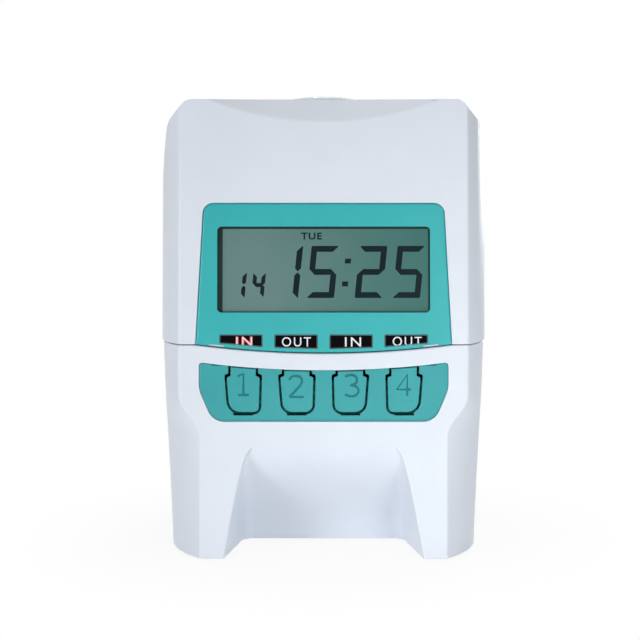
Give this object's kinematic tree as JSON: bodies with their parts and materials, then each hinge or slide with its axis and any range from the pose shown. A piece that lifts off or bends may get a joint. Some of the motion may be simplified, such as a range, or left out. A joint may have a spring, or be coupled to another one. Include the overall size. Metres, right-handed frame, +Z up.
{
  "type": "time clock",
  "caption": "Desktop card time clock with a turquoise display bezel, numbered tongue keys, a front arch and a card printing mechanism",
  "frame": {"origin": "on the ground under the middle of the case", "axes": "X across the front, Y from the front to the rear panel, Z up"},
  "size_m": [0.1544, 0.1179, 0.2149],
  "materials": {
    "case_white": "moulded, fine satin grain",
    "turquoise": "moulded, satin",
    "black_plastic": "moulded, matte",
    "display_glass": "reflective liquid crystal cell",
    "backlight": "diffusing sheet",
    "board": "glass fibre board with solder mask",
    "steel": "zinc plated sheet and bar",
    "chrome": "polished plate",
    "brass": "turned",
    "rubber": "ground, matte",
    "gear_plastic": "natural acetal",
    "transformer": "varnished laminations",
    "ribbon": "inked nylon",
    "battery": "shrink sleeve",
    "diode": "tinted epoxy"
  },
  "bodies": {
    "base": {"base_housing": "case_white", "rear_panel": "case_white", "rear_screws": "steel", "rubber_feet": "rubber", "key_panel": "turquoise", "switch_board": "board", "key_switches": "black_plastic", "switch_screws": "steel", "side_plate_left": "steel", "side_plate_right": "steel", "mechanism_shelf": "steel", "cross_plate": "steel", "chassis_screws": "steel", "front_card_guide": "steel", "rear_card_guide": "steel", "platen": "rubber", "carriage_rod": "steel", "carriage_rail": "steel", "ribbon_cassette": "black_plastic", "ribbon_band": "ribbon", "carriage_motor": "steel", "drive_belt": "rubber", "shaft_bushes": "brass", "feed_motor": "steel", "main_board": "board", "board_parts": "black_plastic", "power_transformer": "transformer", "mains_inlet": "black_plastic", "inlet_pins": "brass", "backup_battery": "battery", "lock_catch": "steel"},
    "cover": {"upper_cover": "case_white", "display_bezel": "turquoise", "lcd_glass": "display_glass", "lcd_backlight": "backlight", "lcd_frame": "black_plastic", "display_board": "board", "display_screws": "steel", "lamp_plates": "black_plastic", "lamp_diodes": "diode", "lock_barrel": "chrome", "lock_nut": "steel"},
    "lock": {"lock_plug": "brass", "lock_cam": "steel", "lock_screw": "steel"},
    "key_one": {"key_1": "turquoise"},
    "key_two": {"key_2": "turquoise"},
    "key_three": {"key_3": "turquoise"},
    "key_four": {"key_4": "turquoise"},
    "carriage": {"print_carriage": "black_plastic", "print_head": "black_plastic"},
    "drive_wheel": {"drive_pulley": "gear_plastic"},
    "idler_wheel": {"idler_pulley": "gear_plastic"},
    "feed": {"feed_shaft": "steel", "feed_rollers": "rubber", "feed_gear": "gear_plastic"},
    "pinch": {"pinch_shaft": "steel", "pinch_rollers": "rubber"},
    "pinion": {"motor_pinion": "brass"},
    "ribbon_drive": {"ribbon_knob": "gear_plastic"}
  },
  "joints": [
    {"name": "cover_lift", "type": "slide", "parent": "base", "child": "cover", "axis": [0, 0, 1], "range_m": [0, 0.12]},
    {"name": "lock_turn", "type": "hinge", "parent": "cover", "child": "lock", "pos_m": [0, 0.01849, 0.2], "axis": [0, 0, 1], "range_deg": [0, 90]},
    {"name": "key_1_press", "type": "hinge", "parent": "base", "child": "key_one", "pos_m": [-0.0375, -0.04215, 0.09043], "axis": [1, 0, 0], "range_deg": [0, 2.5], "stiffness_Nm_per_rad": 0.2},
    {"name": "key_2_press", "type": "hinge", "parent": "base", "child": "key_two", "pos_m": [-0.0125, -0.04215, 0.09043], "axis": [1, 0, 0], "range_deg": [0, 2.5], "stiffness_Nm_per_rad": 0.2},
    {"name": "key_3_press", "type": "hinge", "parent": "base", "child": "key_three", "pos_m": [0.0125, -0.04215, 0.09043], "axis": [1, 0, 0], "range_deg": [0, 2.5], "stiffness_Nm_per_rad": 0.2},
    {"name": "key_4_press", "type": "hinge", "parent": "base", "child": "key_four", "pos_m": [0.0375, -0.04215, 0.09043], "axis": [1, 0, 0], "range_deg": [0, 2.5], "stiffness_Nm_per_rad": 0.2},
    {"name": "carriage_slide", "type": "slide", "parent": "base", "child": "carriage", "axis": [1, 0, 0], "range_m": [0, 0.064]},
    {"name": "drive_spin", "type": "hinge", "parent": "base", "child": "drive_wheel", "pos_m": [-0.0412, -0.01931, 0.0807], "axis": [0, 0, 1], "range_deg": [0, 740]},
    {"name": "idler_spin", "type": "hinge", "parent": "base", "child": "idler_wheel", "pos_m": [0.0478, -0.01931, 0.0807], "axis": [0, 0, 1], "range_deg": [0, 740]},
    {"name": "feed_spin", "type": "hinge", "parent": "base", "child": "feed", "pos_m": [0, 0.00669, 0.134], "axis": [1, 0, 0], "continuous": true},
    {"name": "pinch_spin", "type": "hinge", "parent": "base", "child": "pinch", "pos_m": [0, -0.00921, 0.134], "axis": [1, 0, 0], "continuous": true},
    {"name": "pinion_spin", "type": "hinge", "parent": "base", "child": "pinion", "pos_m": [0.062, 0.02829, 0.134], "axis": [1, 0, 0], "continuous": true},
    {"name": "ribbon_spin", "type": "hinge", "parent": "base", "child": "ribbon_drive", "pos_m": [0.0452, -0.01832, 0.125], "axis": [0, 0, 1], "continuous": true}
  ],
  "couplings": [
    {"joint": "drive_spin", "follows": "carriage_slide", "rad_per_m": 200},
    {"joint": "idler_spin", "follows": "carriage_slide", "rad_per_m": 200},
    {"joint": "pinch_spin", "follows": "feed_spin", "ratio": -1.3846},
    {"joint": "pinion_spin", "follows": "feed_spin", "ratio": -2}
  ]
}
